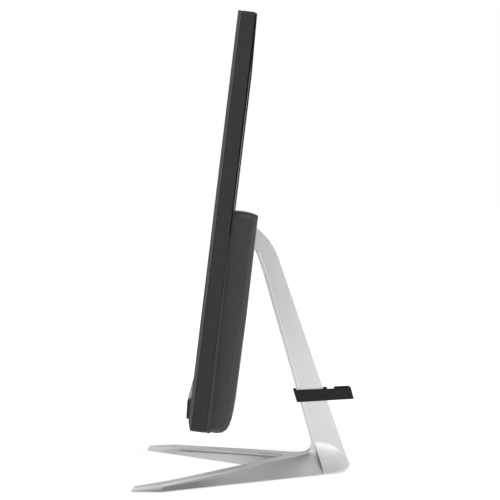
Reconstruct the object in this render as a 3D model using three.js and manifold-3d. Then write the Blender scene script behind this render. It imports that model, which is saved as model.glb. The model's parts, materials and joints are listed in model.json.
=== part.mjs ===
// An all-in-one desktop computer: a slim display with the computer in a thicker housing on its lower half,
// tilting on a hinge at the top of a fin-shaped metal neck that rises from a V-shaped foot.
// Millimetres. +X is the user's right, -Y the side the screen faces, +Z up. The origin is on the resting
// surface, in the middle of the footprint.

import * as THREE from "three";
import { mergeVertices } from "three/addons/utils/BufferGeometryUtils.js";
import Module from "manifold-3d";

const wasm = await Module();
wasm.setup();

// ---------------------------------------------------------------- driving dimensions

const GAP = 0.3; // between touching pieces
const ARC_STEPS = 6; // straight steps in a quarter of a small rounding
const EDGE_STEPS = 4; // the same in the rounding of the housing's sides
const OUTLINE_STEPS = 6; // straight steps in each curve of the housing's side outline

// Display, in its own frame: x across, y back from the front face, z up the screen from the bottom edge.
const DISPLAY = { width: 540.4, height: 353, cornerRadius: 3.5, tilt: 6.9 };
const BEZEL = { depth: 3, lip: 1.2, chamferHeight: 8.2, chamferDepth: 2.4 };
const SCREEN = { width: 527.4, height: 297, middle: 195.2, panelBorder: 3, panelDepth: 1.4 };
const BACK_COVER = { depthTop: 14.4, depth: 15, wall: 1.8 };
const HOUSING = { halfWidth: 262, top: 186, bottom: -1.8, depth: 37.8, wall: 2.4 };
// How its side faces roll over into its back: radii across and along the back, at the top and the bottom.
const HOUSING_EDGE = { across: [5, 12], along: [5, 15], spread: 130 };
const FLANGE = { top: 165, slope: 0.0204 }; // the housing's rim, a wedge that thickens towards the bottom
const CHIN = { halfWidth: 264, bottom: 9.2, barTop: 26.8, trimTop: 39.6, recess: 1.1 };
const CHASSIS = { halfWidth: 254, bottom: 14, top: 178, front: 11.3, thickness: 1 };
const BOARD = { left: -165, right: 55, bottom: 12, top: 128, back: 17, thickness: 1.6 };

// Hinge: the axis lies along X, at this place in the stand's frame and in the display's.
const HINGE = { y: 1.4, z: 238, depth: 26, height: 162, knuckleRadius: 9, shaftRadius: 4 };

// Stand: side outlines are in Y and Z, plan outlines in X and Y.
const NECK = { halfWidth: 7, stripDepth: 4, stripTop: 222, footZ: 0.4 };
const TIP_Y = -101.7;
const CLIP_REAR_Y = 115.2;
const FOOTPRINT_MIDDLE = (TIP_Y + CLIP_REAR_Y) / 2;
const FOOT_TOP = { y: -72.7, z: 6.2, rise: 0.0722 }; // both legs' tops lie in this one sloping plane
const HEEL_TOP = 33; // how far up the neck the base's flare reaches
const NECK_FRONT = { top: { y: 23.5, z: 199.7 }, foot: { y: 71.5, z: 31 } }; // its straight front edge

const FINISH = {
  blackPlastic: { color: 0x2b2b2d, roughness: 0.6, metalness: 0 },
  satinSilver: { color: 0xc9cacc, roughness: 0.35, metalness: 0.9 },
  silverPlastic: { color: 0xb9babd, roughness: 0.4, metalness: 0.3 },
  glass: { color: 0x0b0c0e, roughness: 0.15, metalness: 0 },
  steel: { color: 0x9a9c9f, roughness: 0.45, metalness: 0.9 },
  copper: { color: 0xb8754a, roughness: 0.35, metalness: 1 },
  circuit: { color: 0x14402c, roughness: 0.6, metalness: 0 },
  film: { color: 0xb98b3c, roughness: 0.5, metalness: 0 },
  whitePlastic: { color: 0xd8d8d4, roughness: 0.5, metalness: 0 },
  rubber: { color: 0x1b1b1b, roughness: 0.9, metalness: 0 },
};

// ---------------------------------------------------------------- solids

function solid(geometry) {
  const bare = geometry.index ? geometry.toNonIndexed() : geometry.clone();
  bare.deleteAttribute("normal");
  bare.deleteAttribute("uv");
  const merged = mergeVertices(bare, 1e-4);
  const vertProperties = new Float32Array(merged.attributes.position.array);
  const triVerts = new Uint32Array(merged.index.array);
  return new wasm.Manifold(new wasm.Mesh({ numProp: 3, vertProperties, triVerts }));
}

function surface(body) {
  const { vertProperties, triVerts } = body.getMesh();
  const geometry = new THREE.BufferGeometry();
  geometry.setAttribute("position", new THREE.BufferAttribute(vertProperties, 3));
  geometry.setIndex(new THREE.BufferAttribute(triVerts, 1));
  geometry.computeVertexNormals();
  return geometry;
}

const union = (bodies) => bodies.reduce((all, body) => all.add(body));

function box([x0, x1], [y0, y1], [z0, z1]) {
  const geometry = new THREE.BoxGeometry(x1 - x0, y1 - y0, z1 - z0);
  geometry.translate((x0 + x1) / 2, (y0 + y1) / 2, (z0 + z1) / 2);
  return solid(geometry);
}

function extrude(shape, from, to, xAxis, yAxis, zAxis) {
  const options = { depth: to - from, bevelEnabled: false, curveSegments: ARC_STEPS, steps: 1 };
  const geometry = new THREE.ExtrudeGeometry(shape, options);
  geometry.translate(0, 0, from);
  geometry.applyMatrix4(new THREE.Matrix4().makeBasis(xAxis, yAxis, zAxis));
  return solid(geometry);
}

const X = new THREE.Vector3(1, 0, 0);
const Y = new THREE.Vector3(0, 1, 0);
const Z = new THREE.Vector3(0, 0, 1);

// A side outline in (y, z), carried across from x0 to x1.
const across = (shape, x0, x1) => extrude(shape, x0, x1, Y, Z, X);
// A front outline in (x, z), carried back from y0 to y1.
const backward = (shape, y0, y1) => extrude(shape, -y1, -y0, X, Z, Y.clone().negate());

function outline(points) {
  return new THREE.Shape(points.map(([a, b]) => new THREE.Vector2(a, b)));
}

function roundedRect(left, right, bottom, top, radius) {
  const shape = new THREE.Shape();
  shape.absarc(right - radius, bottom + radius, radius, -Math.PI / 2, 0);
  shape.absarc(right - radius, top - radius, radius, 0, Math.PI / 2);
  shape.absarc(left + radius, top - radius, radius, Math.PI / 2, Math.PI);
  shape.absarc(left + radius, bottom + radius, radius, Math.PI, 1.5 * Math.PI);
  return shape;
}

// A round bar about a line along x, y or z; sides is the number of flats.
function bar(axis, radius, from, to, [a, b], sides = 32) {
  const geometry = new THREE.CylinderGeometry(radius, radius, to - from, sides);
  geometry.translate(0, (from + to) / 2, 0);
  if (axis === "x") {
    geometry.rotateZ(-Math.PI / 2);
    geometry.translate(0, a, b);
  } else if (axis === "y") {
    geometry.translate(a, 0, b);
  } else {
    geometry.rotateX(Math.PI / 2);
    geometry.translate(a, b, 0);
  }
  return solid(geometry);
}

// A skin over closed rings of points, all with the same number of points, its two ends filled in.
function loft(rings) {
  const count = rings[0].length;
  const middle = (ring) => ring.reduce((sum, p) => sum.map((v, k) => v + p[k] / count), [0, 0, 0]);
  const points = [...rings.flat(), middle(rings[0]), middle(rings.at(-1))];
  const nearEnd = points.length - 2;
  const farEnd = points.length - 1;
  const last = (rings.length - 1) * count;
  const index = [];
  for (let i = 0; i < count; i++) {
    const j = (i + 1) % count;
    index.push(nearEnd, j, i, farEnd, last + i, last + j);
    for (let low = 0; low < last; low += count) {
      const high = low + count;
      index.push(low + i, low + j, high + j, low + i, high + j, high + i);
    }
  }
  const geometry = new THREE.BufferGeometry();
  geometry.setAttribute("position", new THREE.Float32BufferAttribute(points.flat(), 3));
  geometry.setIndex(index);
  const body = solid(geometry);
  return body.volume() < 0 ? loft([...rings].reverse()) : body; // the skin has to face outwards
}

const mix = THREE.MathUtils.lerp;
const smoothstep = THREE.MathUtils.smoothstep;
const mirrored = (points) => points.map(([x, y, z]) => [-x, y, z]);

function add(group, name, body, finish) {
  const mesh = new THREE.Mesh(surface(body), new THREE.MeshStandardMaterial(FINISH[finish]));
  mesh.name = name;
  group.add(mesh);
}

// ---------------------------------------------------------------- display shells and screen

const halfDisplay = DISPLAY.width / 2;
const screenBottom = SCREEN.middle - SCREEN.height / 2;
const screenTop = SCREEN.middle + SCREEN.height / 2;
const cameraZ = (screenTop + SCREEN.panelBorder + DISPLAY.height) / 2 - 0.6;
const lensRadius = 1.5;
const button = { x: 232, halfWidth: 6.6, front: 7.9, back: 12.1 };
const coverFront = BEZEL.depth + GAP;

function displayOutline(inset) {
  const radius = Math.max(DISPLAY.cornerRadius - inset, 1);
  const side = halfDisplay - inset;
  return roundedRect(-side, side, inset, DISPLAY.height - inset, radius);
}

function frontBezel() {
  const window = roundedRect(-SCREEN.width / 2, SCREEN.width / 2, screenBottom, screenTop, 1);
  const panelHalf = SCREEN.width / 2 + SCREEN.panelBorder + GAP;
  const border = SCREEN.panelBorder + GAP;
  const pocket = roundedRect(-panelHalf, panelHalf, screenBottom - border, screenTop + border, 1);
  const chamfer = outline([
    [0, BEZEL.chamferHeight],
    [-1, BEZEL.chamferHeight],
    [-1, -1],
    [BEZEL.chamferDepth + BEZEL.chamferDepth / BEZEL.chamferHeight, -1],
  ]);
  const chinSide = [-CHIN.halfWidth - GAP, CHIN.halfWidth + GAP];
  const shutterTrack = [[-5.5, 13], [-1, 1], [cameraZ - 1.9, cameraZ + 1.9]];
  return backward(displayOutline(0), 0, BEZEL.depth)
    .subtract(backward(window, -1, BEZEL.depth + 1))
    .subtract(backward(pocket, BEZEL.lip, BEZEL.depth + 1))
    .subtract(across(chamfer, -halfDisplay - 1, halfDisplay + 1))
    .subtract(box(chinSide, [-1, CHIN.recess], [CHIN.bottom - GAP, CHIN.trimTop + GAP]))
    .subtract(box(...shutterTrack))
    .subtract(bar("y", lensRadius + GAP, -1, BEZEL.depth + 1, [0, cameraZ], 20));
}

function lcdPanel() {
  const half = SCREEN.width / 2 + SCREEN.panelBorder;
  const low = screenBottom - SCREEN.panelBorder;
  const high = screenTop + SCREEN.panelBorder;
  const front = BEZEL.lip + GAP;
  return box([-half, half], [front, front + SCREEN.panelDepth], [low, high]);
}

function backlightUnit() {
  const half = SCREEN.width / 2 + SCREEN.panelBorder;
  return box([-half, half], [coverFront, 10], [screenBottom - 3, screenTop + SCREEN.panelBorder]);
}

function coverDepths(inset) {
  const { depthTop, depth } = BACK_COVER;
  return outline([
    [0, -2],
    [depth - inset, -2],
    [depth - inset, HOUSING.top],
    [depthTop - inset, DISPLAY.height + 2],
    [0, DISPLAY.height + 2],
  ]);
}

function panelBackCover() {
  const { wall } = BACK_COVER;
  const outer = backward(displayOutline(0), coverFront, 20);
  const inner = backward(displayOutline(wall), 0, 20);
  const half = halfDisplay + 1;
  const opening = roundedRect(-HOUSING.halfWidth + 5, HOUSING.halfWidth - 5, 4, HOUSING.top - 5, 3);
  const { x, halfWidth, front, back } = button;
  const buttonSides = [x - halfWidth - GAP, x + halfWidth + GAP];
  return outer
    .intersect(across(coverDepths(0), -half, half))
    .subtract(inner.intersect(across(coverDepths(wall), -half, half)))
    .subtract(backward(opening, 8, 22))
    .subtract(box(buttonSides, [front - GAP, back + GAP], [-1, 3]));
}

// The housing's side outline: flat back, arched top, and an underside that rolls up into the back.
function housingSide(inset) {
  const shape = new THREE.Shape();
  const back = HOUSING.depth - inset;
  const top = HOUSING.top - inset;
  const bottom = HOUSING.bottom + inset;
  const seam = BACK_COVER.depth + GAP - (inset ? 2 : 0); // the hollow is cut on through the open front
  shape.moveTo(seam, bottom);
  shape.lineTo(24, bottom);
  shape.bezierCurveTo(back - 2.6, bottom, back - 1.4, bottom + 10, back - 0.6, 30);
  shape.lineTo(back, 97);
  shape.lineTo(back - 0.4, top - 2.6);
  shape.quadraticCurveTo(back - 0.5, top - 0.6, back - 2.6, top - 0.4);
  shape.quadraticCurveTo(26, top + 1, seam, top);
  return shape;
}

// The housing's rim, flush with the display's sides.
function housingFlange() {
  const seam = BACK_COVER.depth + GAP;
  const thickness = (z) => FLANGE.slope * (HOUSING.top - z);
  const wedge = outline([
    [seam, 0],
    [seam + thickness(0), 0],
    [seam + thickness(FLANGE.top), FLANGE.top],
    [seam, FLANGE.top],
  ]);
  const half = halfDisplay + 1;
  return backward(displayOutline(0), seam, seam + 6).intersect(across(wedge, -half, half));
}

// The housing as a solid, its side outline carried across and rounded over at either end.
function housingBody(inset) {
  const points = housingSide(inset).getPoints(OUTLINE_STEPS);
  const half = HOUSING.halfWidth - inset;
  const top = HOUSING.top - inset;
  const bottom = HOUSING.bottom + inset;
  const seam = points[0].x;
  const run = HOUSING.depth - inset - seam;
  const radius = ([atTop, atBottom], z) =>
    mix(atBottom, atTop, smoothstep(z, 0, HOUSING_EDGE.spread)) - inset;
  const ring = (side, angle) => {
    const draw = 1 - Math.cos(angle);
    const low = bottom + draw * radius(HOUSING_EDGE.along, 0);
    const high = top - draw * radius(HOUSING_EDGE.along, top);
    return points.map(({ x: y, y: z }) => {
      const reach = half - radius(HOUSING_EDGE.across, z) * (1 - Math.sin(angle));
      const back = seam + (y - seam) * (1 - (draw * radius(HOUSING_EDGE.along, z)) / run);
      return [side * reach, back, THREE.MathUtils.mapLinear(z, bottom, top, low, high)];
    });
  };
  const turns = Array.from({ length: EDGE_STEPS + 1 }, (_, k) => (k / EDGE_STEPS) * (Math.PI / 2));
  const left = turns.map((angle) => ring(-1, angle)).reverse();
  return loft([...left, ...turns.map((angle) => ring(1, angle))]);
}

const PORTS = [
  { name: "dc_inlet", x: -142, width: 10, height: 10 },
  { name: "hdmi_port", x: -121, width: 16, height: 6.6 },
  { name: "lan_port", x: -97, width: 16.4, height: 13.6 },
  { name: "usb_stack_1", x: -73, width: 14.6, height: 15.6 },
  { name: "usb_stack_2", x: -51, width: 14.6, height: 15.6 },
  { name: "audio_jack", x: -33, width: 7, height: 7 },
];
const PORT_ROW = { z: 40, front: BOARD.back + BOARD.thickness + GAP, back: 37 };
const SCREWS = [
  [-240, 160],
  [240, 160],
  [-240, 52],
  [240, 52],
];
const FINS = { left: 72, right: 168, bottom: 158, top: 179, front: 14, back: 33, count: 22 };

function housingVents() {
  const cuts = [];
  const topSlots = 24;
  for (let i = 0; i < topSlots; i++) {
    const x = FINS.left + ((FINS.right - FINS.left) * (i + 0.5)) / topSlots;
    cuts.push(box([x - 1, x + 1], [20, 31], [HOUSING.top - 6, HOUSING.top + 3]));
  }
  const rows = 9;
  for (let i = 0; i < rows; i++) {
    const z = 78 + i * 6.5;
    cuts.push(box([88, 152], [HOUSING.depth - 4, HOUSING.depth + 1], [z - 1, z + 1]));
    cuts.push(box([-152, -88], [HOUSING.depth - 4, HOUSING.depth + 1], [z - 1, z + 1]));
  }
  return union(cuts);
}

function rearHousing() {
  const { depth } = HOUSING;
  const neckWindow = roundedRect(-NECK.halfWidth - 2, NECK.halfWidth + 2, 140, 178.5, 2);
  const portCuts = PORTS.map(({ x, width, height }) => {
    const side = width / 2 + GAP;
    const rise = height / 2 + GAP;
    return box([x - side, x + side], [30, depth + 1], [PORT_ROW.z - rise, PORT_ROW.z + rise]);
  });
  const screwCuts = SCREWS.map((at) =>
    bar("y", 1.8, 20, depth + 1, at, 16).add(bar("y", 3.3, depth - 1.6, depth + 1, at, 20)),
  );
  return housingBody(0)
    .add(housingFlange())
    .subtract(housingBody(HOUSING.wall))
    .subtract(backward(neckWindow, 30, depth + 1))
    .subtract(union(portCuts))
    .subtract(union(screwCuts))
    .subtract(housingVents());
}

function chinSpeakerBar() {
  const back = CHIN.recess - GAP;
  const side = outline([
    [back, CHIN.bottom],
    [0, CHIN.bottom],
    [-2.2, CHIN.bottom + 0.4],
    [-3.15, CHIN.barTop - 2.4],
    [-0.1, CHIN.barTop - GAP],
    [back, CHIN.barTop - GAP],
  ]);
  return across(side, -CHIN.halfWidth, CHIN.halfWidth);
}

function chinTrim() {
  const back = CHIN.recess - GAP;
  const side = outline([
    [back, CHIN.barTop],
    [-2, CHIN.barTop],
    [-0.15, CHIN.trimTop],
    [back, CHIN.trimTop],
  ]);
  return across(side, -CHIN.halfWidth, CHIN.halfWidth);
}

function cameraModule() {
  const front = coverFront;
  const block = box([-18, 18], [front, front + 3.2], [cameraZ - 1.6, cameraZ + 1.6]);
  return block.add(bar("y", lensRadius, 1.3, front + 1, [0, cameraZ], 20));
}

function cameraShutter() {
  const plate = box([2.6, 12.4], [0.25, 0.75], [cameraZ - 1.6, cameraZ + 1.6]);
  return plate.add(box([6.6, 8.4], [-0.4, 0.3], [cameraZ - 1.2, cameraZ + 1.2]));
}

// ---------------------------------------------------------------- button and speakers

function powerButton() {
  const { x, halfWidth, front, back } = button;
  const cap = box([x - halfWidth, x + halfWidth], [front, back], [-0.35, 3]);
  return cap.add(box([x - halfWidth - 1, x + halfWidth + 1], [front - 1, back + 0.6], [2.3, 3.6]));
}

function buttonBoard() {
  const { x, front, back } = button;
  const board = box([x - 17, x + 17], [front - 1, back + 0.6], [6, 7.2]);
  return board.add(box([x - 3, x + 3], [front, back], [4.8, 6.1]));
}

function speaker(side) {
  const x0 = side > 0 ? 185 : -245;
  const cabinet = box([x0, x0 + 60], [CHASSIS.front + 2.2, 30], [6, 34]);
  const cone = bar("y", 9, 29, 31.2, [x0 + 30, 20], 24);
  return cabinet.add(cone).subtract(bar("y", 6.5, 30.2, 32, [x0 + 30, 20], 24));
}

// ---------------------------------------------------------------- computer

function chassisPlate() {
  const { halfWidth, bottom, top, front, thickness } = CHASSIS;
  const plate = box([-halfWidth, halfWidth], [front, front + thickness], [bottom, top]);
  const standoffs = [BOARD.left + 8, BOARD.right - 8].flatMap((x) =>
    [BOARD.bottom + 8, BOARD.top - 8].map((z) => bar("y", 3, front + 0.5, BOARD.back - GAP, [x, z], 12)),
  );
  const cableSlot = box([22, 53], [front - 1, front + thickness + 1], [131, 138]);
  return plate.add(union(standoffs)).subtract(cableSlot);
}

function mainboard() {
  const { left, right, bottom, top, back, thickness } = BOARD;
  const face = back + thickness;
  const chips = [
    [[-14, 4], [100, 118]],
    [[14, 40], [94, 120]],
    [[-10, 2], [40, 52]],
    [[20, 46], [22, 34]],
  ];
  const board = box([left, right], [back, face], [bottom, top]);
  return board.add(union(chips.map(([x, z]) => box(x, [face - 0.5, face + 2], z))));
}

// A cold plate with the pipe's groove across its back.
const PIPE = { y: 24, halfDepth: 1.8, halfHeight: 3.2 };

function coldPlate() {
  const face = BOARD.back + BOARD.thickness + GAP;
  return box([-62, -22], [face, PIPE.y - PIPE.halfDepth - GAP], [92, 126]);
}

function heatPipe() {
  const route = new THREE.CurvePath();
  const stops = [
    [-58, 109],
    [44, 109],
    [56, 121],
    [56, 154],
    [70, 168],
    [FINS.right - 4, 168],
  ].map(([x, z]) => new THREE.Vector3(x, PIPE.y, z));
  const corner = (from, pivot, to) => new THREE.QuadraticBezierCurve3(from, pivot, to);
  route.add(new THREE.LineCurve3(stops[0], stops[1]));
  route.add(corner(stops[1], new THREE.Vector3(56, PIPE.y, 109), stops[2]));
  route.add(new THREE.LineCurve3(stops[2], stops[3]));
  route.add(corner(stops[3], new THREE.Vector3(56, PIPE.y, 168), stops[4]));
  route.add(new THREE.LineCurve3(stops[4], stops[5]));
  const section = new THREE.Shape();
  section.absellipse(0, 0, PIPE.halfHeight, PIPE.halfDepth, 0, 2 * Math.PI);
  const options = { extrudePath: route, steps: 48, curveSegments: 5 };
  return solid(new THREE.ExtrudeGeometry(section, options));
}

function finStack() {
  const { left, right, bottom, top, front, back, count } = FINS;
  const pitch = (right - left) / count;
  const slots = [];
  for (let i = 0; i < count; i++) {
    const x = left + pitch * i;
    slots.push(box([x + 0.5, x + pitch - 0.3], [front + 1, back - 1], [bottom - 1, top + 1]));
  }
  const depth = PIPE.halfHeight + GAP;
  const pipeWay = box([left - 1, right + 1], [PIPE.y - depth, PIPE.y + depth], [168 - depth, 168 + depth]);
  return box([left, right], [front, back], [bottom, top]).subtract(union(slots)).subtract(pipeWay);
}

const BLOWER = { x: 120, z: 106, half: 46, front: 14, back: 32, bore: 36, rotorRadius: 32 };

function blowerHousing() {
  const { x, z, half, front, back, bore, rotorRadius } = BLOWER;
  const body = box([x - half, x + half], [front, back], [z - half, z + half]);
  const chamber = bar("y", bore, front + 1.5, back - 1.5, [x, z], 48);
  const inlet = bar("y", 25, back - 2, back + 1, [x, z], 40);
  const outlet = box([x - rotorRadius, x + half - 4], [front + 1.5, back - 1.5], [z, z + half + 1]);
  return body.subtract(chamber).subtract(inlet).subtract(outlet);
}

function fanRotor() {
  const { x, z, front, back, rotorRadius } = BLOWER;
  const blades = 17;
  const span = [front + 3, back - 3];
  const parts = [bar("y", 13, span[0], span[1] + 0.6, [x, z], 36)];
  for (let i = 0; i < blades; i++) {
    const blade = new THREE.BoxGeometry(rotorRadius - 12, span[1] - span[0], 1.2);
    blade.translate((rotorRadius + 12) / 2, (span[0] + span[1]) / 2, 3);
    blade.rotateY((2 * Math.PI * i) / blades);
    blade.translate(x, 0, z);
    parts.push(solid(blade));
  }
  return union(parts);
}

const boardFace = BOARD.back + BOARD.thickness + GAP;
const memoryModule = (z) => box([-156, -88.4], [boardFace, boardFace + 3.8], [z, z + 28]);
const ssdCard = () => box([-78, 2], [boardFace, boardFace + 2.4], [58, 80]);
const wifiCard = () => box([12, 42], [boardFace, boardFace + 2.2], [58, 80]);
const DRIVE = { left: -250, bottom: 62, width: 69.9, height: 92, front: 15.6, depth: 7 };

function hardDrive() {
  const { left, bottom, width, height, front, depth } = DRIVE;
  return box([left, left + width], [front, front + depth], [bottom, bottom + height]);
}

function driveBracket() {
  const { left, bottom, width, height, front } = DRIVE;
  const floor = front - GAP;
  const z = [bottom + 6, bottom + height - 6];
  const right = left + width;
  const tray = box([left - 1.5, right + 1.5], [floor - 1.2, floor], z);
  const leftSide = box([left - 1.5, left - GAP], [floor - 1.2, front + 5], z);
  const rightSide = box([right + GAP, right + 1.5], [floor - 1.2, front + 5], z);
  return union([tray, leftSide, rightSide]);
}

function displayCable() {
  const side = outline([
    [19, 122],
    [19.7, 122],
    [19.7, 135.2],
    [10.4, 135.2],
    [10.4, 134.5],
    [19, 134.5],
  ]);
  return across(side, 25, 50);
}

// ---------------------------------------------------------------- sockets

const SOCKET_DEPTH = 13;

function socketBody({ x, width, height }) {
  const rise = height / 2;
  const z = [PORT_ROW.z - rise, PORT_ROW.z + rise];
  return box([x - width / 2, x + width / 2], [PORT_ROW.front, PORT_ROW.back], z);
}

function socketHollow(x, z, width, height) {
  const y = [PORT_ROW.back - SOCKET_DEPTH, PORT_ROW.back + 1];
  return box([x - width / 2, x + width / 2], y, [z - height / 2, z + height / 2]);
}

function tongue(x, z, width, height) {
  const y = [PORT_ROW.back - SOCKET_DEPTH - 1, PORT_ROW.back - 1.5];
  return box([x - width / 2, x + width / 2], y, [z - height / 2, z + height / 2]);
}

const SOCKETS = {
  dc_inlet(port) {
    const { back } = PORT_ROW;
    const ring = bar("y", 3.6, back - SOCKET_DEPTH, back + 1, [port.x, PORT_ROW.z], 24);
    const pin = bar("y", 0.9, back - SOCKET_DEPTH - 1, back - 1.5, [port.x, PORT_ROW.z], 12);
    return socketBody(port).subtract(ring).add(pin);
  },
  hdmi_port(port) {
    const hollow = socketHollow(port.x, PORT_ROW.z, 14.4, 5);
    return socketBody(port).subtract(hollow).add(tongue(port.x, PORT_ROW.z, 11, 1.2));
  },
  lan_port(port) {
    return socketBody(port).subtract(socketHollow(port.x, PORT_ROW.z, 12, 9));
  },
  usb_stack(port) {
    let body = socketBody(port);
    for (const z of [PORT_ROW.z - 3.8, PORT_ROW.z + 3.8]) {
      body = body.subtract(socketHollow(port.x, z, 13, 5.8)).add(tongue(port.x, z + 1.2, 11, 1.6));
    }
    return body;
  },
  audio_jack(port) {
    const { back } = PORT_ROW;
    return socketBody(port).subtract(bar("y", 1.8, back - 14, back + 1, [port.x, PORT_ROW.z], 20));
  },
};

function coverScrew([x, z]) {
  const headBack = HOUSING.depth - 0.7;
  const headFront = HOUSING.depth - 1.6 + GAP;
  const head = bar("y", 2.9, headFront, headBack, [x, z], 20);
  const slot = box([x - 2, x + 2], [headBack - 0.5, headBack + 1], [z - 0.4, z + 0.4]);
  return head.add(bar("y", 1.4, 22.8, headFront + 0.2, [x, z], 12)).subtract(slot);
}

// ---------------------------------------------------------------- hinge

const EAR = { inner: 9.2, outer: 12.2 };
const hingeAt = [HINGE.depth, HINGE.height];

function hingeBracket() {
  const front = CHASSIS.front + CHASSIS.thickness + GAP;
  const plate = box([-32, 32], [front, front + 2.5], [146, 177]);
  const ears = [-1, 1].map((side) => {
    const [x0, x1] = side > 0 ? [EAR.inner, EAR.outer] : [-EAR.outer, -EAR.inner];
    const arm = box([x0, x1], [front + 1, HINGE.depth], [HINGE.height - 8, HINGE.height + 8]);
    return arm.add(bar("x", 8, x0, x1, hingeAt));
  });
  return plate.add(union(ears)).subtract(bar("x", HINGE.shaftRadius + GAP, -20, 20, hingeAt));
}

function hingeShaft() {
  const head = bar("x", 6.5, -EAR.outer - GAP - 3.5, -EAR.outer - GAP, hingeAt, 6);
  return head.add(bar("x", HINGE.shaftRadius, -EAR.outer - 1, EAR.outer + 5.5, hingeAt));
}

function frictionWasher(side) {
  const ends = [NECK.halfWidth + GAP, EAR.inner - GAP];
  const [from, to] = side > 0 ? ends : [-ends[1], -ends[0]];
  const hole = bar("x", HINGE.shaftRadius + GAP, from - 1, to + 1, hingeAt);
  return bar("x", 7.6, from, to, hingeAt).subtract(hole);
}

function hingeNut() {
  const from = EAR.outer + GAP;
  const hole = bar("x", HINGE.shaftRadius + GAP, from - 1, from + 5, hingeAt);
  return bar("x", 6.8, from, from + 4, hingeAt, 6).subtract(hole);
}

// ---------------------------------------------------------------- stand

const footTopAt = (y) => FOOT_TOP.z + FOOT_TOP.rise * (y - FOOT_TOP.y);

const point = (x, y, z) => new THREE.Vector3(x, y, z);
const onGround = (x, y) => point(x, y, NECK.footZ);
const onTop = (x, y) => point(x, y, footTopAt(y));
const smoothCurve = (points) => new THREE.CatmullRomCurve3(points, false, "catmullrom");

// Each leg: its ground edge and its top edge, from the blunt tip back to where they pass the seam.
const LEG_SLOPE = 2.3; // of the outer face, x to z
const LEG_TIP = [
  { ground: onGround(121, TIP_Y), top: onTop(119.4, -99.5) },
  { ground: onGround(122.8, -72.7), top: onTop(116.2, -72.7) },
];
const LEG_GROUND = smoothCurve([
  onGround(69.9, 20),
  onGround(47.1, 60),
  onGround(38.5, 75),
  onGround(30, 90),
]);
const LEG_TOP = smoothCurve([
  onTop(43.7, 20),
  onTop(12.5, 60),
  point(6.9, 72, 21),
  point(6.8, 86, 28),
]);

// The heel: its ground edge swings round behind the neck while its top edge hugs the neck's side.
const HEEL_GROUND = smoothCurve([
  onGround(34, 76),
  onGround(33, 84),
  onGround(31, 91),
  onGround(28, 98),
  onGround(22.5, 104),
  onGround(14, 108.6),
  onGround(6, 111),
  onGround(0.3, 111.6),
]);
const HEEL_EDGE = smoothCurve([
  point(6.8, 72, HEEL_TOP),
  point(6.8, 80, HEEL_TOP - 1),
  point(6.8, 88, 30),
  point(6.8, 95, 27),
  point(6.8, 101, 22),
  point(6.5, 106, 15.5),
  point(4.6, 109.2, 10.5),
  point(0.3, 109.8, 10),
]);
const FACE = { stations: 24, steps: 12, rollSteps: 5, legRoll: 0.7, heelBend: 0.65, heelRoll: [1.5, 6] };

// A line of points down the base's outer face, rolled under at the ground; pulls shape its curve.
function faceLine(top, foot, pulls, ground, roll) {
  const line = new THREE.CubicBezierCurve3(top, ...pulls, foot).getPoints(FACE.steps);
  const inward = top.clone().sub(ground).setZ(0).normalize();
  for (let i = 1; i <= FACE.rollSteps; i++) {
    const angle = (Math.PI / 2) * (i / FACE.rollSteps);
    const under = foot.clone().addScaledVector(inward, roll * (1 - Math.cos(angle)));
    line.push(under.setZ(foot.z - roll * Math.sin(angle)));
  }
  return line;
}

// A leg's outer face: its own slope at the ground, and upright where it meets the neck's side.
function legLine(top, ground) {
  const foot = ground.clone().setZ(NECK.footZ + FACE.legRoll);
  const rise = (ground.x - top.x) / LEG_SLOPE;
  const corner = point(top.x, mix(top.y, ground.y, 0.4), Math.min(foot.z + rise, top.z));
  const pulls = [top.clone().lerp(corner, 2 / 3), foot.clone().lerp(corner, 2 / 3)];
  return faceLine(top, foot, pulls, ground, FACE.legRoll);
}

// The heel's outer face: upright at the neck, and flaring out evenly down to its foot.
function heelLine(top, ground, roll) {
  const foot = ground.clone().setZ(NECK.footZ + roll);
  const middle = top.clone().setZ(mix(foot.z, top.z, FACE.heelBend));
  const pulls = [top.clone().lerp(middle, 2 / 3), foot.clone().lerp(middle, 2 / 3)];
  return faceLine(top, foot, pulls, ground, roll);
}

function skinned(lines) {
  const rings = lines.map((line) => {
    const right = line.map((p) => p.toArray());
    return [...right, ...mirrored(right).reverse()];
  });
  return loft(rings);
}

function legsBase() {
  const lines = LEG_TIP.map(({ top, ground }) => legLine(top, ground));
  for (let i = 0; i <= FACE.stations; i++) {
    const t = i / FACE.stations;
    lines.push(legLine(LEG_TOP.getPoint(t), LEG_GROUND.getPoint(t)));
  }
  return skinned(lines).subtract(betweenLegs()).subtract(rimGroove());
}

function heelBase() {
  const [sideRoll, rearRoll] = FACE.heelRoll;
  const lines = [];
  for (let i = 0; i <= FACE.stations; i++) {
    const t = i / FACE.stations;
    const roll = mix(sideRoll, rearRoll, smoothstep(t, 0.2, 0.9));
    lines.push(heelLine(HEEL_EDGE.getPoint(t), HEEL_GROUND.getPoint(t), roll));
  }
  return skinned(lines);
}

// Between the legs the base is cut away to a rounded V, its walls sloping inwards as they rise.
const CROTCH = { steps: 60, pastBend: 36, front: -190, margin: 8 };
const GROUND_V = { y: 27, slope: 1.175, radius: 3, bend: 104, tipSlope: 1.35 };
const TOP_V = { y: 43.8, slope: 1.2275, radius: 5, bend: 93.6, tipSlope: 1.78 };
const RIM_GROOVE = { from: 0.7, to: 3.2, depth: 3.4 }; // below the top face, into the wall

// A point of a V: t runs from 0 at its apex to 1 at its bend, and on past the leg's tip at 2.
function alongV({ y, slope, radius, bend, tipSlope }, t) {
  const side = Math.min(Math.abs(t), 1) * bend;
  const past = Math.max(Math.abs(t) - 1, 0) * CROTCH.pastBend;
  const back = y - slope * (Math.hypot(side, radius) - radius) - tipSlope * past;
  return [Math.sign(t) * (side + past), back];
}

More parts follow.
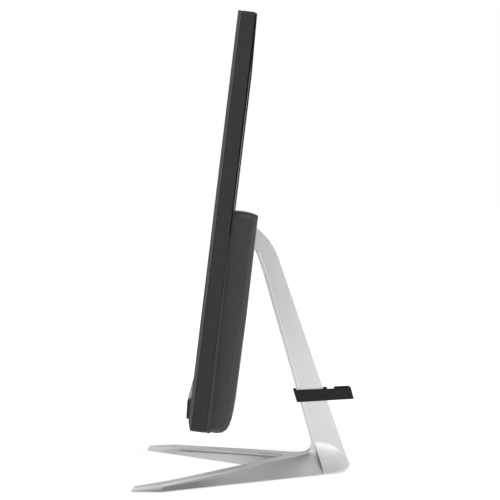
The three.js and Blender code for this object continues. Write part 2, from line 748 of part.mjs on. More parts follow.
// A closed ring that follows a V as far as t = reach and closes in front of the legs.
function crotchRing(vee, height, reach = 2, back = 0) {
  const ring = [];
  for (let i = 0; i <= CROTCH.steps; i++) {
    const side = (2 * i) / CROTCH.steps - 1;
    const [x, y] = alongV(vee, Math.sign(side) * reach * Math.abs(side) ** 1.8);
    ring.push([x, y + back, height(y + back)]);
  }
  const end = ring[CROTCH.steps][0];
  const front = height(CROTCH.front);
  return [...ring, [end, CROTCH.front, front], [-end, CROTCH.front, front]];
}

function betweenLegs() {
  const { margin } = CROTCH;
  return loft([
    crotchRing(GROUND_V, () => NECK.footZ - margin),
    crotchRing(GROUND_V, () => NECK.footZ),
    crotchRing(TOP_V, footTopAt),
    crotchRing(TOP_V, (y) => footTopAt(y) + margin),
  ]);
}

// A shadow groove that runs along the inner walls to the bend, just under their top edge.
function rimGroove() {
  const { from, to, depth } = RIM_GROOVE;
  return loft([
    crotchRing(TOP_V, (y) => footTopAt(y) - to, 1, depth),
    crotchRing(TOP_V, (y) => footTopAt(y) - from, 1, depth),
  ]);
}

// The neck's side outline, ending in the hinge knuckle.
function neckSide() {
  const { y, z, knuckleRadius } = HINGE;
  const shape = new THREE.Shape();
  const spline = (points) => shape.splineThru(points.map(([a, b]) => new THREE.Vector2(a, b)));
  shape.moveTo(104, NECK.footZ);
  shape.quadraticCurveTo(112.1, NECK.footZ, 109.6, 9.2);
  shape.lineTo(39.6, 213.9);
  spline([
    [35.6, 223.4],
    [30.4, 232],
    [24.4, 239],
    [18.4, 244.6],
    [11, 248],
    [y, z + knuckleRadius],
  ]);
  shape.absarc(y, z, knuckleRadius, Math.PI / 2, 1.5 * Math.PI);
  spline([
    [9.6, 229],
    [15.4, 222.3],
    [NECK_FRONT.top.y, NECK_FRONT.top.z],
  ]);
  shape.lineTo(NECK_FRONT.foot.y, NECK_FRONT.foot.z);
  shape.quadraticCurveTo(75.5, 17, 61, footTopAt(61));
  shape.lineTo(61, NECK.footZ);
  return shape;
}

// Everything in front of the seam that runs down the neck, a strip's depth behind its front edge.
function seamFront(shift) {
  const { stripDepth, stripTop } = NECK;
  return outline([
    [-200, -10],
    [83.8 + 2.7 + shift, -10],
    [NECK_FRONT.top.y + stripDepth + shift, NECK_FRONT.top.z],
    [15.4 + stripDepth + shift, stripTop + shift],
    [-200, stripTop + shift],
  ]);
}

// A fine line let into either side of the riser strip, close behind its front edge.
const STRIP_LINE = { back: 1.1, width: 0.6, depth: 0.7, bottom: 26 };

function stripLines() {
  const { back, width, depth, bottom } = STRIP_LINE;
  const { top, foot } = NECK_FRONT;
  const frontEdge = (z) => back + THREE.MathUtils.mapLinear(z, foot.z, top.z, foot.y, top.y);
  const side = outline([
    [frontEdge(bottom), bottom],
    [frontEdge(bottom) + width, bottom],
    [frontEdge(top.z) + width, top.z],
    [frontEdge(top.z), top.z],
  ]);
  const inner = NECK.halfWidth - depth;
  return across(side, inner, inner + 2).add(across(side, -inner - 2, -inner));
}

const PLATE = { halfWidth: 14, front: 58, rear: 104, bottom: 1.3, top: 3.1 };
const JOINT_SCREWS = [
  [-8, 66],
  [8, 66],
  [-8, 96],
  [8, 96],
];
const PADS = {
  tip_pad_left: [-108, -78, 5],
  tip_pad_right: [108, -78, 5],
  heel_pad_left: [-20.5, 90.5, 4.5],
  heel_pad_right: [20.5, 90.5, 4.5],
};
const PAD_TOP = 2.4;

// The neck on its base, with room left for the plate, screws and pads beneath.
function standBody(base) {
  const body = base.add(across(neckSide(), -NECK.halfWidth, NECK.halfWidth)).subtract(stripLines());
  const plateSide = PLATE.halfWidth + GAP;
  const plateRun = [PLATE.front - GAP, PLATE.rear + GAP];
  const padCuts = Object.values(PADS).map(([x, y, radius]) =>
    bar("z", radius + GAP, -1, PAD_TOP + GAP, [x, y], 24),
  );
  const screwCuts = JOINT_SCREWS.map((at) => bar("z", 2.1, 0, 11, at, 16));
  return body
    .subtract(box([-plateSide, plateSide], plateRun, [-1, PLATE.top + GAP]))
    .subtract(union(padCuts))
    .subtract(union(screwCuts));
}

function footCasting() {
  return standBody(legsBase()).intersect(across(seamFront(-GAP / 2), -150, 150));
}

// The rear shell: hollow behind the riser strip to carry no more metal than it needs.
function neckShell() {
  const hollow = outline([
    [80, 32],
    [96, 32],
    [40, 200],
    [24, 200],
  ]);
  return standBody(heelBase())
    .subtract(across(seamFront(GAP / 2), -150, 150))
    .subtract(across(hollow, -4.6, 4.6))
    .subtract(bar("x", HINGE.shaftRadius + GAP, -20, 20, [HINGE.y, HINGE.z]));
}

function jointPlate() {
  const { halfWidth, front, rear, bottom, top } = PLATE;
  const plate = box([-halfWidth, halfWidth], [front, rear], [bottom, top]);
  return plate.subtract(union(JOINT_SCREWS.map((at) => bar("z", 2.1, 0, 4, at, 16))));
}

function jointScrew([x, y]) {
  const head = bar("z", 3.4, 0.4, PLATE.bottom - GAP, [x, y], 20);
  return head.add(bar("z", 1.8, 0.6, 10.5, [x, y], 16));
}

// ---------------------------------------------------------------- cable clip

// A band round the neck, open between two lips at the front, with a loop for cables behind the neck.
const CLIP = { halfWidth: 8.8, inner: 7.4, lipGap: 4 };

function cableClip() {
  const side = outline([
    [57.6, 69.2],
    [CLIP_REAR_Y, 72.6],
    [112.3, 84.1],
    [53.9, 81.4],
  ]);
  const hollow = outline([
    [60.2, 67],
    [114.2, 67],
    [109.6, 86],
    [54.9, 86],
  ]);
  const { halfWidth, inner, lipGap } = CLIP;
  const entry = box([-halfWidth - 1, -inner + 1], [89, 96], [76, 90]);
  return across(side, -halfWidth, halfWidth)
    .subtract(across(hollow, -inner, inner))
    .subtract(box([-lipGap, lipGap], [50, 66], [60, 90]))
    .subtract(entry);
}

// ---------------------------------------------------------------- assembly

function buildDisplay() {
  const display = new THREE.Group();
  add(display, "front_bezel", frontBezel(), "blackPlastic");
  add(display, "lcd_panel", lcdPanel(), "glass");
  add(display, "backlight_unit", backlightUnit(), "whitePlastic");
  add(display, "panel_back_cover", panelBackCover(), "blackPlastic");
  add(display, "rear_housing", rearHousing(), "blackPlastic");
  add(display, "chin_speaker_bar", chinSpeakerBar(), "blackPlastic");
  add(display, "chin_trim", chinTrim(), "silverPlastic");
  add(display, "camera_module", cameraModule(), "circuit");
  add(display, "camera_shutter", cameraShutter(), "blackPlastic");
  add(display, "power_button", powerButton(), "silverPlastic");
  add(display, "button_board", buttonBoard(), "circuit");
  add(display, "speaker_left", speaker(-1), "blackPlastic");
  add(display, "speaker_right", speaker(1), "blackPlastic");
  add(display, "chassis_plate", chassisPlate(), "steel");
  add(display, "mainboard", mainboard(), "circuit");
  add(display, "cpu_cold_plate", coldPlate(), "copper");
  add(display, "heat_pipe", heatPipe(), "copper");
  add(display, "fin_stack", finStack(), "steel");
  add(display, "blower_housing", blowerHousing(), "blackPlastic");
  add(display, "fan_rotor", fanRotor(), "blackPlastic");
  add(display, "memory_module_1", memoryModule(62), "circuit");
  add(display, "memory_module_2", memoryModule(94), "circuit");
  add(display, "ssd_card", ssdCard(), "circuit");
  add(display, "wifi_card", wifiCard(), "circuit");
  add(display, "hard_drive", hardDrive(), "steel");
  add(display, "drive_bracket", driveBracket(), "steel");
  add(display, "display_cable", displayCable(), "film");
  for (const port of PORTS) {
    const make = SOCKETS[port.name.replace(/_\d$/, "")];
    add(display, port.name, make(port), "steel");
  }
  SCREWS.forEach((at, i) => add(display, `cover_screw_${i + 1}`, coverScrew(at), "steel"));
  add(display, "hinge_bracket", hingeBracket(), "steel");
  add(display, "hinge_shaft", hingeShaft(), "steel");
  add(display, "friction_washer_left", frictionWasher(-1), "steel");
  add(display, "friction_washer_right", frictionWasher(1), "steel");
  add(display, "hinge_nut", hingeNut(), "steel");
  display.position.set(0, -HINGE.depth, -HINGE.height);
  return display;
}

function buildStand() {
  const stand = new THREE.Group();
  add(stand, "foot_casting", footCasting(), "satinSilver");
  add(stand, "neck_shell", neckShell(), "satinSilver");
  add(stand, "joint_plate", jointPlate(), "steel");
  JOINT_SCREWS.forEach((at, i) => add(stand, `joint_screw_${i + 1}`, jointScrew(at), "steel"));
  for (const [name, [x, y, radius]] of Object.entries(PADS)) {
    add(stand, name, bar("z", radius, 0, PAD_TOP, [x, y], 24), "rubber");
  }
  add(stand, "cable_clip", cableClip(), "blackPlastic");
  return stand;
}

const tilting = new THREE.Group();
tilting.add(buildDisplay());
tilting.rotation.x = -THREE.MathUtils.degToRad(DISPLAY.tilt);
tilting.position.set(0, HINGE.y, HINGE.z);

const computer = new THREE.Group();
computer.add(tilting, buildStand());
computer.position.y = -FOOTPRINT_MIDDLE;

const product = new THREE.Group();
product.add(computer);

export default product;
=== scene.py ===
"""An all-in-one computer seen from its right side, on a pale floor in soft studio light.

Metres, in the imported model's frame: +X is the user's right, -Y the side the screen faces, +Z up.
"""

import json
import math

import bmesh
import bpy
from mathutils import Matrix, Vector


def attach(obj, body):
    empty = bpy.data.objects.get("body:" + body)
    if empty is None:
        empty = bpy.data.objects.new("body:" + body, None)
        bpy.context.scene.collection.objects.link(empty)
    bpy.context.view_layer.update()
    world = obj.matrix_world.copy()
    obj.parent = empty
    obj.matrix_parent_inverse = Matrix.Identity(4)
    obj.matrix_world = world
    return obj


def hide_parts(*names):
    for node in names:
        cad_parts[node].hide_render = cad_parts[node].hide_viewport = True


MM = 0.001
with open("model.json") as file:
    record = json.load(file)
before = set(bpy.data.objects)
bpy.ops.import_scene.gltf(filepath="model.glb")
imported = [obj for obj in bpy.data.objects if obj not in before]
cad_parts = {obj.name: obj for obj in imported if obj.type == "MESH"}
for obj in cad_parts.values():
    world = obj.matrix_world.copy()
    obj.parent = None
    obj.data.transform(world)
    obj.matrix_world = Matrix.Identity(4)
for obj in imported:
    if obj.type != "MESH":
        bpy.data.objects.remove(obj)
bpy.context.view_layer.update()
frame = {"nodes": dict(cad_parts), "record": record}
nodes = frame["nodes"]

# ---------------------------------------------------------------- the display's own frame

# X runs across the screen, Y back from the bezel's face, and Z up from the display's lower edge.
DISPLAY_TILT = math.radians(6.9)
HINGE_IN_DISPLAY = Vector((0, 26, 162)) * MM
HINGE = Vector(frame["record"]["behaviour"]["joints"][0]["pos_m"])
FROM_DISPLAY = (
    Matrix.Translation(HINGE)
    @ Matrix.Rotation(-DISPLAY_TILT, 4, "X")
    @ Matrix.Translation(-HINGE_IN_DISPLAY)
)
TO_DISPLAY = FROM_DISPLAY.inverted()

# ---------------------------------------------------------------- camera

CAMERA_PLACE = (1.470, -0.00675, 0.2658)
CAMERA_LENS = 104.0
CAMERA_SENSOR = 36
CAMERA_SHIFT = (0.020, -0.084)
CAMERA_NEAR = 0.05


def make_camera():
    """A camera that looks along -X, straight at the object's right side."""
    data = bpy.data.cameras.new("camera")
    data.lens = CAMERA_LENS
    data.sensor_width = CAMERA_SENSOR
    data.shift_x, data.shift_y = CAMERA_SHIFT
    data.clip_start = CAMERA_NEAR
    camera = bpy.data.objects.new("camera", data)
    camera.location = CAMERA_PLACE
    camera.rotation_euler = (math.radians(90), 0, math.radians(90))
    bpy.context.scene.collection.objects.link(camera)
    bpy.context.scene.camera = camera


# ---------------------------------------------------------------- light and floor

# Brightness of the surroundings by Z less LEFTWARD times X of the direction, a unit vector: bright
# all round but for a dim patch high over the object's left.
SKY_STOPS = ((0.96, 1.0), (1.02, 0.90), (1.08, 0.56), (1.17, 0.36))
SKY_SPAN = 1.25
LEFTWARD = 0.7
SKY_BLUE = 1.01

FLOOR_SIZE = 40
FLOOR_CELLS = 24
FLOOR_GREY = 0.88
FLOOR_ROUGHNESS = 0.9
FLOOR_GLOW = 0.38


def make_world():
    world = bpy.data.worlds.new("studio")
    bpy.context.scene.world = world
    world.use_nodes = True
    tree = world.node_tree
    tree.nodes.clear()
    out = tree.nodes.new("ShaderNodeOutputWorld")
    background = tree.nodes.new("ShaderNodeBackground")
    coords = tree.nodes.new("ShaderNodeTexCoord")
    axes = tree.nodes.new("ShaderNodeSeparateXYZ")
    lean = tree.nodes.new("ShaderNodeMath")
    lean.operation = "MULTIPLY_ADD"
    lean.inputs[1].default_value = -LEFTWARD
    span = tree.nodes.new("ShaderNodeMath")
    span.operation = "DIVIDE"
    span.inputs[1].default_value = SKY_SPAN
    ramp = tree.nodes.new("ShaderNodeValToRGB")
    tree.links.new(coords.outputs["Generated"], axes.inputs[0])
    tree.links.new(axes.outputs["X"], lean.inputs[0])
    tree.links.new(axes.outputs["Z"], lean.inputs[2])
    tree.links.new(lean.outputs[0], span.inputs[0])
    tree.links.new(span.outputs[0], ramp.inputs[0])
    tree.links.new(ramp.outputs[0], background.inputs["Color"])
    tree.links.new(background.outputs[0], out.inputs[0])
    stops = ramp.color_ramp.elements
    for i, (at, level) in enumerate(SKY_STOPS):
        stop = stops[i] if i < 2 else stops.new(at / SKY_SPAN)
        stop.position = at / SKY_SPAN
        stop.color = (level, level, level * SKY_BLUE, 1)


def area_light(name, location, target, size, power):
    data = bpy.data.lights.new(name, "AREA")
    data.shape = "RECTANGLE"
    data.size, data.size_y = size
    data.energy = power
    lamp = bpy.data.objects.new(name, data)
    lamp.location = location
    direction = Vector(target) - Vector(location)
    lamp.rotation_euler = direction.to_track_quat("-Z", "Y").to_euler()
    bpy.context.scene.collection.objects.link(lamp)


def make_floor():
    bm = bmesh.new()
    bmesh.ops.create_grid(bm, x_segments=FLOOR_CELLS, y_segments=FLOOR_CELLS, size=FLOOR_SIZE)
    mesh = bpy.data.meshes.new("floor")
    bm.to_mesh(mesh)
    bm.free()
    floor = bpy.data.objects.new("floor", mesh)
    bpy.context.scene.collection.objects.link(floor)
    material = bpy.data.materials.new("floor")
    material.use_nodes = True
    shader = material.node_tree.nodes["Principled BSDF"]
    shader.inputs["Base Color"].default_value = (FLOOR_GREY, FLOOR_GREY, FLOOR_GREY, 1)
    shader.inputs["Roughness"].default_value = FLOOR_ROUGHNESS
    shader.inputs["Specular IOR Level"].default_value = 0.0
    shader.inputs["Emission Color"].default_value = (1, 1, 1, 1)
    shader.inputs["Emission Strength"].default_value = FLOOR_GLOW
    mesh.materials.append(material)


# ---------------------------------------------------------------- materials

# A noise texture's values lie about between these.
NOISE_LOW = 0.3
NOISE_HIGH = 0.7


class Shader:
    """A Principled material and short calls that wire texture nodes into it."""

    def __init__(self, name, color, roughness, metallic=0.0, specular=0.5):
        self.material = bpy.data.materials.new(name)
        self.material.use_nodes = True
        self.tree = self.material.node_tree
        self.bsdf = self.tree.nodes["Principled BSDF"]
        self.color = color
        self.bsdf.inputs["Base Color"].default_value = (*color, 1)
        self.bsdf.inputs["Roughness"].default_value = roughness
        self.bsdf.inputs["Metallic"].default_value = metallic
        self.bsdf.inputs["Specular IOR Level"].default_value = specular
        self.coords = self.node("ShaderNodeTexCoord").outputs["Object"]
        self.height = None

    def node(self, kind, **settings):
        made = self.tree.nodes.new(kind)
        for key, value in settings.items():
            setattr(made, key, value)
        return made

    def link(self, a, b):
        self.tree.links.new(a, b)

    def scaled(self, scale):
        mapping = self.node("ShaderNodeMapping")
        mapping.inputs["Scale"].default_value = scale
        self.link(self.coords, mapping.inputs["Vector"])
        return mapping.outputs[0]

    def noise(self, scale, detail=4.0, roughness=0.55, stretch=(1, 1, 1)):
        made = self.node("ShaderNodeTexNoise")
        made.inputs["Scale"].default_value = scale
        made.inputs["Detail"].default_value = detail
        made.inputs["Roughness"].default_value = roughness
        self.link(self.scaled(stretch), made.inputs["Vector"])
        return made.outputs["Fac"]

    def weave(self, pitch):
        """A cloth's over-and-under pattern across the display's face, the same all through it."""
        made = self.node("ShaderNodeTexChecker")
        made.inputs["Scale"].default_value = 1.0
        made.inputs["Color1"].default_value = (1, 1, 1, 1)
        made.inputs["Color2"].default_value = (0, 0, 0, 1)
        threads = 1 / pitch
        self.link(self.scaled((threads, 0.01, threads)), made.inputs["Vector"])
        return made.outputs["Fac"]

    def spread(self, value, low, high):
        """A noise value carried to the range from low to high."""
        made = self.node("ShaderNodeMapRange")
        made.inputs["From Min"].default_value = NOISE_LOW
        made.inputs["From Max"].default_value = NOISE_HIGH
        made.inputs["To Min"].default_value = low
        made.inputs["To Max"].default_value = high
        self.link(value, made.inputs["Value"])
        return made.outputs[0]

    def tint(self, value, dark, light):
        """Base colour between two shades of the material's own colour."""
        ramp = self.node("ShaderNodeValToRGB")
        ends = ((NOISE_LOW, dark), (NOISE_HIGH, light))
        for stop, (at, shade) in zip(ramp.color_ramp.elements, ends):
            stop.position = at
            stop.color = (*[min(c * shade, 1) for c in self.color], 1)
        self.link(value, ramp.inputs[0])
        self.link(ramp.outputs[0], self.bsdf.inputs["Base Color"])

    def gloss(self, value, low, high):
        self.link(self.spread(value, low, high), self.bsdf.inputs["Roughness"])

    def bump(self, value, strength, distance):
        """Relief of this distance in metres, on top of the material's earlier relief."""
        made = self.node("ShaderNodeBump")
        made.inputs["Strength"].default_value = strength
        made.inputs["Distance"].default_value = distance
        self.link(value, made.inputs["Height"])
        if self.height is not None:
            self.link(self.height, made.inputs["Normal"])
        self.height = made.outputs[0]
        self.link(self.height, self.bsdf.inputs["Normal"])


def moulded_plastic(name, color, roughness, specular, grain=0.35):
    """Moulded plastic: spark-eroded grain, faint flow marks and a little uneven gloss."""
    made = Shader(name, color, roughness, specular=specular)
    made.tint(made.noise(14, detail=3), 0.9, 1.1)
    made.gloss(made.noise(420, detail=5), roughness - 0.05, roughness + 0.06)
    made.bump(made.noise(2600, detail=2, roughness=0.6), grain, 0.00006)
    return made.material


def blasted_metal(name, color, roughness):
    """Cast aluminium, bead blasted and clear anodised."""
    made = Shader(name, color, roughness, metallic=1.0)
    made.tint(made.noise(9, detail=3), 0.97, 1.03)
    made.gloss(made.noise(600, detail=5), roughness - 0.05, roughness + 0.05)
    made.bump(made.noise(3200, detail=3, roughness=0.7), 0.25, 0.00005)
    return made.material


def brushed_metal(name, color, roughness):
    """Metal brushed along X."""
    made = Shader(name, color, roughness, metallic=1.0)
    lines = made.noise(40, detail=6, roughness=0.7, stretch=(1, 60, 60))
    made.tint(lines, 0.92, 1.06)
    made.gloss(lines, roughness - 0.08, roughness + 0.1)
    made.bump(lines, 0.12, 0.00005)
    return made.material


def circuit_board(name, color):
    """Solder mask over copper: traces and pours show as slightly lighter bands."""
    made = Shader(name, color, 0.45, specular=0.5)
    cells = made.node("ShaderNodeTexVoronoi", distance="MANHATTAN", feature="F1")
    cells.inputs["Scale"].default_value = 260
    made.link(made.coords, cells.inputs["Vector"])
    made.tint(cells.outputs["Distance"], 0.7, 1.5)
    made.gloss(made.noise(300), 0.4, 0.55)
    made.bump(cells.outputs["Distance"], 0.2, 0.00008)
    return made.material


def rubber_material(name):
    made = Shader(name, (0.02, 0.02, 0.02), 0.85, specular=0.3)
    made.tint(made.noise(60), 0.8, 1.3)
    made.gloss(made.noise(900), 0.78, 0.92)
    made.bump(made.noise(1500), 0.4, 0.0001)
    return made.material


def speaker_cloth(name):
    """Tight black cloth over the speaker bar, with a woven relief and slightly fuzzy threads."""
    made = Shader(name, (0.024, 0.024, 0.025), 0.7, specular=0.35)
    made.bsdf.inputs["Sheen Weight"].default_value = 0.15
    made.bsdf.inputs["Sheen Roughness"].default_value = 0.5
    threads = made.weave(0.8 * MM)
    made.tint(threads, 0.85, 1.2)
    made.gloss(made.noise(300), 0.64, 0.78)
    made.bump(threads, 0.8, 0.0002)
    made.bump(made.noise(3000, detail=2), 0.3, 0.00006)
    return made.material


def screen_material(name):
    """Anti-glare film over a dark panel."""
    made = Shader(name, (0.003, 0.0033, 0.004), 0.14, specular=0.4)
    made.tint(made.noise(5, detail=2), 0.9, 1.15)
    made.gloss(made.noise(1800, detail=3), 0.11, 0.17)
    made.bump(made.noise(5200, detail=2), 0.05, 0.00003)
    return made.material


def lens_glass(name):
    """Coated glass over the dark inside of a small camera."""
    made = Shader(name, (0.004, 0.004, 0.007), 0.05, specular=0.8)
    made.bsdf.inputs["Coat Weight"].default_value = 1.0
    made.bsdf.inputs["Coat Tint"].default_value = (0.75, 0.7, 1.0, 1)
    made.tint(made.noise(900, detail=2), 0.8, 1.3)
    made.gloss(made.noise(2000), 0.04, 0.08)
    return made.material


MATERIALS = {
    "side_black": moulded_plastic("side_black", (0.009, 0.009, 0.0094), 0.5, 0.35),
    "housing_black": moulded_plastic("housing_black", (0.013, 0.013, 0.0134), 0.4, 0.45, 0.25),
    "bezel_black": moulded_plastic("bezel_black", (0.036, 0.036, 0.0365), 0.42, 0.5),
    "clip_black": moulded_plastic("clip_black", (0.006, 0.006, 0.0062), 0.5, 0.25),
    # Near-black, matte and barely specular: painted shade for the seams between the shells.
    "seam_shade_black": moulded_plastic("seam_shade_black", (0.006, 0.006, 0.006), 0.8, 0.1),
    "speaker_cloth": speaker_cloth("speaker_cloth"),
    "silver_plastic": moulded_plastic("silver_plastic", (0.45, 0.45, 0.46), 0.35, 0.5, 0.15),
    "white_plastic": moulded_plastic("white_plastic", (0.72, 0.72, 0.70), 0.5, 0.4),
    "satin_aluminium": blasted_metal("satin_aluminium", (0.64, 0.64, 0.645), 0.46),
    "steel": brushed_metal("steel", (0.55, 0.56, 0.57), 0.38),
    "copper": brushed_metal("copper", (0.72, 0.40, 0.26), 0.32),
    "circuit_board": circuit_board("circuit_board", (0.02, 0.085, 0.05)),
    "polyimide": moulded_plastic("polyimide", (0.50, 0.27, 0.06), 0.3, 0.5, 0.1),
    "rubber": rubber_material("rubber"),
    "screen": screen_material("screen"),
    "lens_glass": lens_glass("lens_glass"),
}

# ---------------------------------------------------------------- shaping

WELD_GAP = 1e-6
FLAT_WITHIN = 0.8  # degrees: facets of a CAD node that meet at less are joined
EDGE_ANGLE = 24  # degrees: edges that turn by more are rounded
SHARP_ANGLE = 22  # degrees: edges that turn by as much are shaded as sharp
NODE_EDGE = 0.3 * MM
SHADE_SHEET_EDGE = 0.2 * MM


def paint(obj, finish):
    obj.data.materials.clear()
    obj.data.materials.append(MATERIALS[finish])


def round_edges(obj, width, segments, angle=EDGE_ANGLE, even=False):
    """Rounds the edges as a modifier; even evens the shading of the broad faces between them."""
    bevel = obj.modifiers.new("bevel", "BEVEL")
    bevel.width = width
    bevel.segments = segments
    bevel.limit_method = "ANGLE"
    bevel.angle_limit = math.radians(angle)
    bevel.harden_normals = True
    bevel.miter_outer = "MITER_ARC"
    if even:
        weighted = obj.modifiers.new("even", "WEIGHTED_NORMAL")
        weighted.keep_sharp = True


def soften(obj):
    """Welds a CAD node's facets, joins flat ones and rounds the sharp edges, all as modifiers."""
    weld = obj.modifiers.new("weld", "WELD")
    weld.merge_threshold = WELD_GAP
    flat = obj.modifiers.new("flat", "DECIMATE")
    flat.decimate_type = "DISSOLVE"
    flat.angle_limit = math.radians(FLAT_WITHIN)
    round_edges(obj, NODE_EDGE, segments=2)


def cad_mesh(name, flatness):
    """A copy of a node's mesh, welded, with facets that meet within flatness degrees joined."""
    bm = bmesh.new()
    bm.from_mesh(nodes[name].data)
    bmesh.ops.remove_doubles(bm, verts=bm.verts, dist=WELD_GAP)
    bmesh.ops.dissolve_degenerate(bm, edges=bm.edges, dist=WELD_GAP)
    if flatness:
        limit = math.radians(flatness)
        bmesh.ops.dissolve_limit(bm, angle_limit=limit, verts=bm.verts, edges=bm.edges)
    return bm


def finished(name, bm, body, finish, replaced=None, sharp=SHARP_ANGLE):
    """A piece from bm that rides on body, smooth but for edges that turn by sharp degrees."""
    for face in bm.faces:
        face.smooth = True
    for edge in bm.edges:
        edge.smooth = len(edge.link_faces) == 2 and edge.calc_face_angle() < math.radians(sharp)
    mesh = bpy.data.meshes.new(name)
    bm.to_mesh(mesh)
    bm.free()
    piece = bpy.data.objects.new(name, mesh)
    bpy.context.scene.collection.objects.link(piece)
    mesh.materials.append(MATERIALS[finish])
    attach(piece, body)
    if replaced:
        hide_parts(replaced)
    return piece


# ---------------------------------------------------------------- housing

RIB_PITCH = 1.8 * MM
RIB_DEPTH = 0.16 * MM
RIB_BOTTOM = 5 * MM
RIB_TOP = 181 * MM
CUT_GAP = 1e-7
ON_LEVEL = 0.01  # how far from a level a point still counts as on it, in half pitches

HOUSING_FRONT = 20 * MM
SIDE_FROM = 250 * MM
BACK_FROM = 34 * MM
NECK_SLOT_HALF_WIDTH = 12 * MM
NECK_SLOT_BOTTOM = 136 * MM
NECK_SLOT_TOP = 182 * MM

# How far a normal leans up or down on a ledge, outwards on a side and backwards on the back.
LEDGE_LEAN = 0.75
SIDE_LEAN = 0.2
BACK_LEAN = 0.6


def ribbed_housing():
    """The rear housing with fine level ribs moulded all over its sides and back."""
    bm = cad_mesh("rear_housing", flatness=0)
    bm.transform(TO_DISPLAY)
    count = int((RIB_TOP - RIB_BOTTOM) / RIB_PITCH)
    for i in range(2 * count + 1):
        cut_level(bm, RIB_BOTTOM + RIB_PITCH * i / 2)
    bm.normal_update()
    moves = []
    for vert in bm.verts:
        step = (vert.co.z - RIB_BOTTOM) / RIB_PITCH * 2
        index = round(step)
        in_groove = index % 2 == 1 and 0 < index < 2 * count
        if abs(step - index) <= ON_LEVEL and in_groove and is_outside(vert):
            moves.append((vert, Vector((vert.normal.x, vert.normal.y, 0)).normalized() * RIB_DEPTH))
    for vert, move in moves:
        vert.co -= move
    bm.transform(FROM_DISPLAY)
    finished("ribbed_housing", bm, "display", "housing_black", "rear_housing")


def cut_level(bm, z):
    """Cuts the faces that cross a level plane along it."""
    near = [f for f in bm.faces if spans(f, z)]
    edges = {e for f in near for e in f.edges}
    verts = {v for f in near for v in f.verts}
    geom = [*verts, *edges, *near]
    up = (0, 0, 1)
    bmesh.ops.bisect_plane(bm, geom=geom, dist=CUT_GAP, plane_co=(0, 0, z), plane_no=up)


def spans(face, z):
    heights = [v.co.z for v in face.verts]
    return min(heights) < z - CUT_GAP and max(heights) > z + CUT_GAP


def is_outside(vert):
    """Whether a point of the housing lies on its outer skin, clear of its openings' rims."""
    x, y, z = vert.co
    by_neck_slot = abs(x) < NECK_SLOT_HALF_WIDTH and NECK_SLOT_BOTTOM < z < NECK_SLOT_TOP
    on_ledge = any(abs(f.normal.z) > LEDGE_LEAN for f in vert.link_faces)
    if y < HOUSING_FRONT or by_neck_slot or on_ledge:
        return False
    outward = vert.normal.x * math.copysign(1, x)
    on_side = abs(x) > SIDE_FROM and outward > SIDE_LEAN
    on_back = y > BACK_FROM and vert.normal.y > BACK_LEAN
    return on_side or on_back


# ---------------------------------------------------------------- dark sheets in the seams between the shells, painted shade

DISPLAY_HALF_WIDTH = 270.2 * MM
DISPLAY_HEIGHT = 353 * MM
DISPLAY_CORNER = 3.5 * MM
LEAST_CORNER = 1 * MM
SHADE_SHEET_OUTSIDE = 0.8 * MM  # inwards from the display's outline
SHADE_SHEET_INSIDE = 2.4 * MM


def rounded_outline(inset, steps=6):
    """The display's outline in x and z, moved inwards."""
    radius = max(DISPLAY_CORNER - inset, LEAST_CORNER)
    half = DISPLAY_HALF_WIDTH - inset
    low, high = inset, DISPLAY_HEIGHT - inset
    points = []
    for side, z, quarter in ((1, low, -1), (1, high, 0), (-1, high, 1), (-1, low, 2)):
        centre_x = side * (half - radius)
        centre_z = z + (radius if z == low else -radius)
        for k in range(steps + 1):
            turn = math.pi / 2 * (quarter + k / steps)
            x = centre_x + radius * math.cos(turn)
            points.append((x, centre_z + radius * math.sin(turn)))
    return points


def seam_shade_sheet(name, front, back):
    """A dark sheet just inside the seam between two shells, all the way round: painted shade that
    darkens the seam.
    """
    outer = rounded_outline(SHADE_SHEET_OUTSIDE)
    inner = rounded_outline(SHADE_SHEET_INSIDE)
    bm = bmesh.new()
    rings = []
    for outline, y in ((outer, front), (outer, back), (inner, back), (inner, front)):
        rings.append([bm.verts.new(FROM_DISPLAY @ Vector((x, y, z))) for x, z in outline])
    for a, b in zip(rings, rings[1:] + rings[:1]):
        for i in range(len(a)):
            j = (i + 1) % len(a)
            bm.faces.new((a[i], a[j], b[j], b[i]))
    bmesh.ops.recalc_face_normals(bm, faces=bm.faces)
    piece = finished(name, bm, "display", "seam_shade_black")
    round_edges(piece, SHADE_SHEET_EDGE, segments=2)


# ---------------------------------------------------------------- camera lens

LENS_DEPTH = 1.25 * MM  # behind the bezel's face
# Radius, and distance towards the front, in mm: the seat and the stepped ring, then the dome.
LENS_RING = [(0, -0.1), (1.45, -0.1), (1.45, 0.08), (1.2, 0.26), (1.05, 0.14)]
LENS_DOME = [(0.9, 0.24), (0.6, 0.32), (0.3, 0.36), (0, 0.37)]


def turned_mesh(centre, axis, profile, steps=32):
    """A turned solid: profile rows are (radius, distance along the axis) from a point."""
    bm = bmesh.new()
    side = axis.orthogonal().normalized()
    up = axis.cross(side)
    rings = []
    for radius, along in profile:
        middle = centre + axis * along
        if radius == 0:
            rings.append([bm.verts.new(middle)])
            continue
        turns = [2 * math.pi * k / steps for k in range(steps)]
        arms = [side * math.cos(turn) + up * math.sin(turn) for turn in turns]
        rings.append([bm.verts.new(middle + arm * radius) for arm in arms])
    for a, b in zip(rings, rings[1:]):
        for k in range(steps):
            n = (k + 1) % steps
            corners = [a[k % len(a)], a[n % len(a)], b[n % len(b)], b[k % len(b)]]
            bm.faces.new(list(dict.fromkeys(corners)))
    bmesh.ops.recalc_face_normals(bm, faces=bm.faces)
    return bm


def camera_lens():
    """A domed lens in a stepped ring, between the camera module and the shutter's path."""
    heights = [(TO_DISPLAY @ v.co).z for v in nodes["camera_module"].data.vertices]
    middle = (min(heights) + max(heights)) / 2
    centre = FROM_DISPLAY @ Vector((0, LENS_DEPTH, middle))
    forward = FROM_DISPLAY.to_3x3() @ Vector((0, -1, 0))
    profile = [(radius * MM, along * MM) for radius, along in LENS_RING + LENS_DOME]
    bm = turned_mesh(centre, forward, profile)
    finished("camera_lens", bm, "display", "lens_glass")


# ---------------------------------------------------------------- assembly

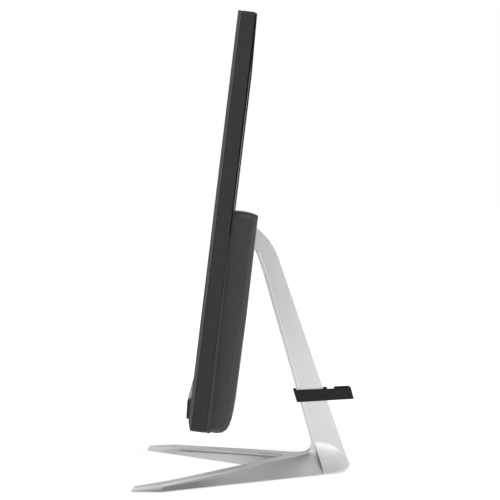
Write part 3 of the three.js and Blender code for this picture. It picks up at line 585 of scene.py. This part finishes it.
# CAD nodes whose copies get rounded edges: body, finish, slot, edge width, and the angle in degrees
# above which an edge is sharp and rounded.
REWORKED = {
    "front_bezel": ("display", "bezel_black", "black_plastic", 0.5 * MM, EDGE_ANGLE),
    "panel_back_cover": ("display", "side_black", "black_plastic", 0.8 * MM, EDGE_ANGLE),
    "chin_speaker_bar": ("display", "speaker_cloth", "black_plastic", 0.4 * MM, EDGE_ANGLE),
    "foot_casting": ("stand", "satin_aluminium", "satin_aluminium", 0.15 * MM, 17),
    "neck_shell": ("stand", "satin_aluminium", "satin_aluminium", 0.15 * MM, 26),
    "cable_clip": ("cable_clip", "clip_black", "black_plastic", 0.6 * MM, EDGE_ANGLE),
}
REWORKED_FLATNESS = 0.5
CASTING_FLATNESS = 0.05

# CAD nodes that keep their own mesh, by finish; the rest of them are steel.
NODE_FINISH = {
    "chin_trim": "silver_plastic",
    "lcd_panel": "screen",
    "backlight_unit": "white_plastic",
    "camera_module": "circuit_board",
    "camera_shutter": "bezel_black",
    "power_button": "silver_plastic",
    "button_board": "circuit_board",
    "speaker_left": "side_black",
    "speaker_right": "side_black",
    "mainboard": "circuit_board",
    "cpu_cold_plate": "copper",
    "heat_pipe": "copper",
    "blower_housing": "side_black",
    "fan_rotor": "side_black",
    "memory_module_1": "circuit_board",
    "memory_module_2": "circuit_board",
    "ssd_card": "circuit_board",
    "wifi_card": "circuit_board",
    "display_cable": "polyimide",
    "tip_pad_left": "rubber",
    "tip_pad_right": "rubber",
    "heel_pad_left": "rubber",
    "heel_pad_right": "rubber",
}


def dress():
    """Reworks the visible shells and castings, and finishes every other CAD node."""
    ribbed_housing()
    for name, (body, finish, slot, width, angle) in REWORKED.items():
        casting = body == "stand"
        bm = cad_mesh(name, CASTING_FLATNESS if casting else REWORKED_FLATNESS)
        piece = finished(name + "_finished", bm, body, finish, name, angle)
        round_edges(piece, width, segments=3, angle=angle, even=casting)
    for name, obj in nodes.items():
        if name not in REWORKED and name != "rear_housing":
            paint(obj, NODE_FINISH.get(name, "steel"))
            soften(obj)


make_camera()
make_world()
make_floor()
area_light("key", location=(1.7, 0.75, 1.7), target=(0, 0.08, 0.05), size=(1.5, 1.1), power=8)
area_light("rear", location=(1.2, 1.3, 0.2), target=(0.1, 0.04, 0.10), size=(0.8, 0.8), power=5)
dress()
# Dark sheets in the shell seams that paint the seams' shade.
seam_shade_sheet("seam_shade_front", front=2.2 * MM, back=4.1 * MM)
seam_shade_sheet("seam_shade_rear", front=14.2 * MM, back=16.1 * MM)
camera_lens()

bpy.context.scene.view_settings.view_transform = "Standard"
